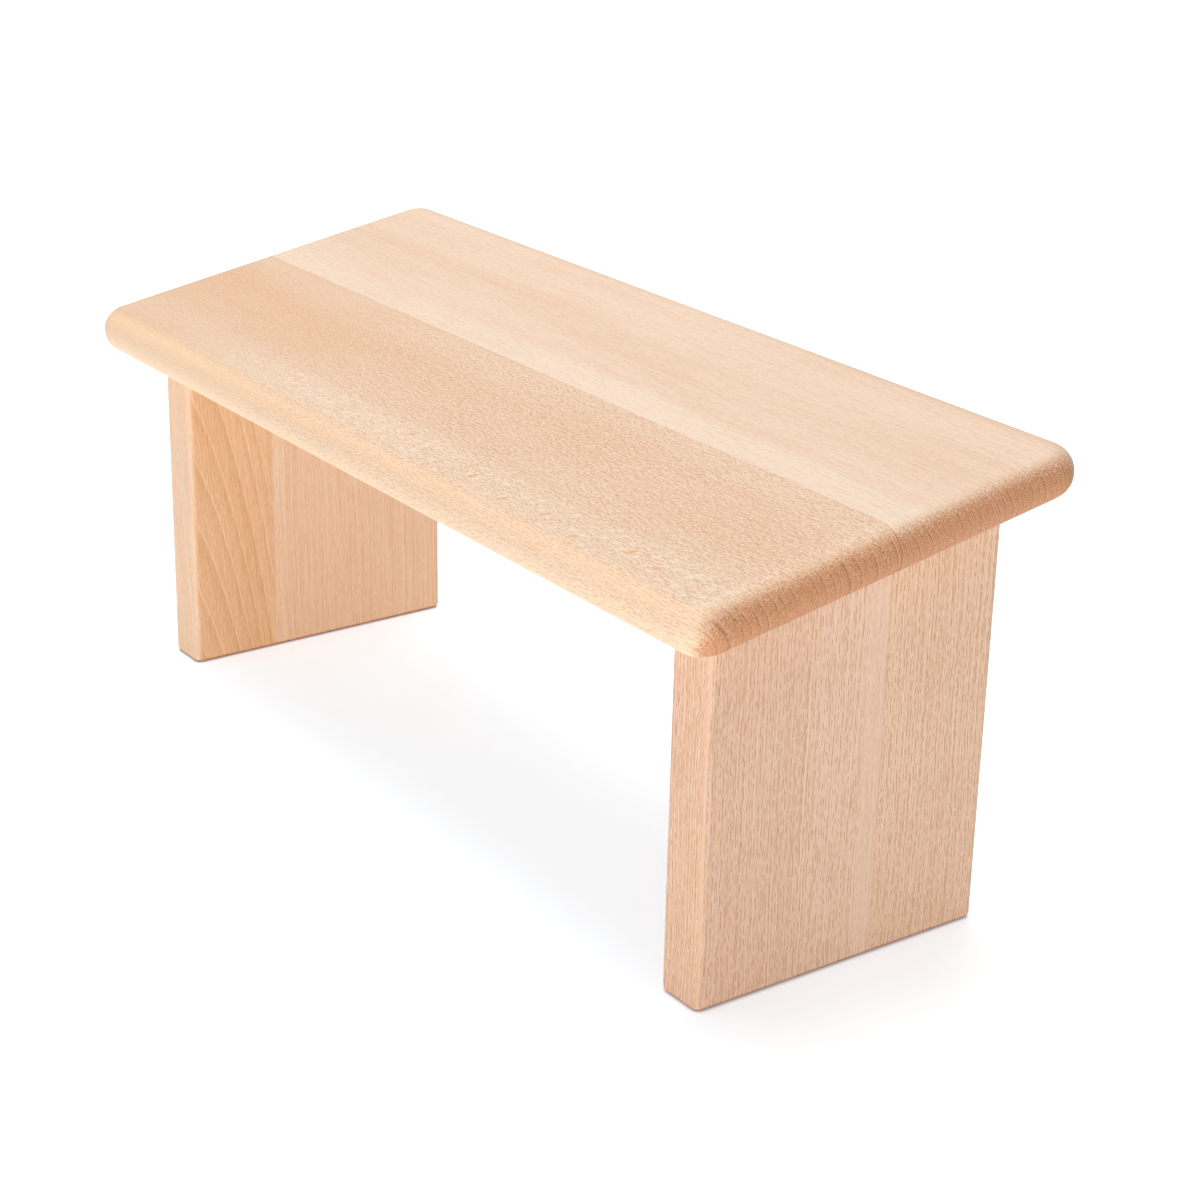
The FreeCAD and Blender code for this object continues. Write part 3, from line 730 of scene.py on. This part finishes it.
def lit_white(name):
    """White that is lit from within: it shines on the bench evenly, looks whiter far from it, and has a
    painted contact shadow where its glow dims round a foot."""
    material = bpy.data.materials.new(name)
    material.use_nodes = True
    wires = Wiring(material.node_tree)
    surface = material.node_tree.nodes["Principled BSDF"]
    surface.inputs["Roughness"].default_value = FLOOR_ROUGHNESS
    surface.inputs["Specular IOR Level"].default_value = FLOOR_GLOSS
    reach = wires.vector("LENGTH", wires.node("TexCoord").outputs["Object"])
    seen = wires.node("LightPath").outputs["Is Camera Ray"]
    apart = wires.ramp(reach, BESIDE_BENCH, CLEAR_OF_BENCH)
    seen_paint = wires.blend(apart, FLOOR_NEAR_PAINT, FLOOR_FAR_PAINT)
    seen_shine = wires.blend(apart, FLOOR_NEAR_SHINE, FLOOR_FAR_SHINE)
    wires.tree.links.new(wires.blend(seen, FLOOR_CAST_PAINT, seen_paint), surface.inputs["Base Color"])
    wires.tree.links.new(wires.blend(seen, FLOOR_CAST_SHINE, seen_shine), surface.inputs["Emission Color"])
    rise = wires.times(wires.ramp(reach, GLOW_STARTS, FAR_AWAY, 0.0, FAR_GLOW - FLOOR_GLOW), seen)
    # Painted contact shadow: the glow dims where a foot hides the sky close by
    open_sky = wires.node("AmbientOcclusion", {"Distance": CONTACT_REACH}, samples=8).outputs["AO"]
    glow_with_contact_shadow = wires.ramp(open_sky, *CONTACT_SKY, CONTACT_SHADOW_GLOW * FLOOR_GLOW, FLOOR_GLOW)
    wires.tree.links.new(wires.plus(rise, glow_with_contact_shadow), surface.inputs["Emission Strength"])
    return material


def make_softbox(name, place, width, height, power):
    light = bpy.data.lights.new(name, "AREA")
    light.shape = "RECTANGLE"
    light.size = width
    light.size_y = height
    light.energy = power
    lamp = bpy.data.objects.new(name, light)
    lamp.location = place
    lamp.rotation_euler = (BENCH_MIDDLE - Vector(place)).to_track_quat("-Z", "Y").to_euler()
    bpy.context.scene.collection.objects.link(lamp)
    return lamp


def make_camera():
    azimuth = math.radians(CAMERA_AZIMUTH)
    elevation = math.radians(CAMERA_ELEVATION)
    back = Vector((math.sin(azimuth) * math.cos(elevation),
                   -math.cos(azimuth) * math.cos(elevation),
                   math.sin(elevation)))
    level = Vector((math.cos(azimuth), math.sin(azimuth), 0))
    axes = Matrix((level, back.cross(level), back)).transposed().to_4x4()
    turn = axes @ Matrix.Rotation(math.radians(CAMERA_ROLL), 4, "Z")
    camera = bpy.data.objects.new("camera", bpy.data.cameras.new("camera"))
    camera.matrix_world = Matrix.Translation(CAMERA_TARGET + back * CAMERA_DISTANCE) @ turn
    camera.data.lens = CAMERA_LENS
    camera.data.sensor_width = SENSOR_WIDTH
    camera.data.clip_end = CAMERA_CLIP
    bpy.context.scene.collection.objects.link(camera)
    bpy.context.scene.camera = camera


def make_world():
    """A white sky, dimmer on the bench than in the camera."""
    world = bpy.data.worlds.new("studio")
    world.use_nodes = True
    sky = Wiring(world.node_tree)
    background = world.node_tree.nodes["Background"]
    seen = sky.node("LightPath").outputs["Is Camera Ray"]
    sky.tree.links.new(sky.ramp(seen, 0.0, 1.0, SKY_STRENGTH, 1.0), background.inputs["Strength"])
    background.inputs["Color"].default_value = tint(1, 1, 1)
    bpy.context.scene.world = world


make_floor(FLOOR_WIDTH, lit_white("studio_white"))
make_softbox("overhead_softbox", *OVERHEAD_SOFTBOX)
make_softbox("front_softbox", *FRONT_SOFTBOX)
fill = make_softbox("fill_softbox", *FILL_SOFTBOX)
fill.visible_glossy = False  # it lies low, and would glare off the seat when seen from behind
make_camera()
make_world()
bpy.context.scene.view_settings.view_transform = "Standard"
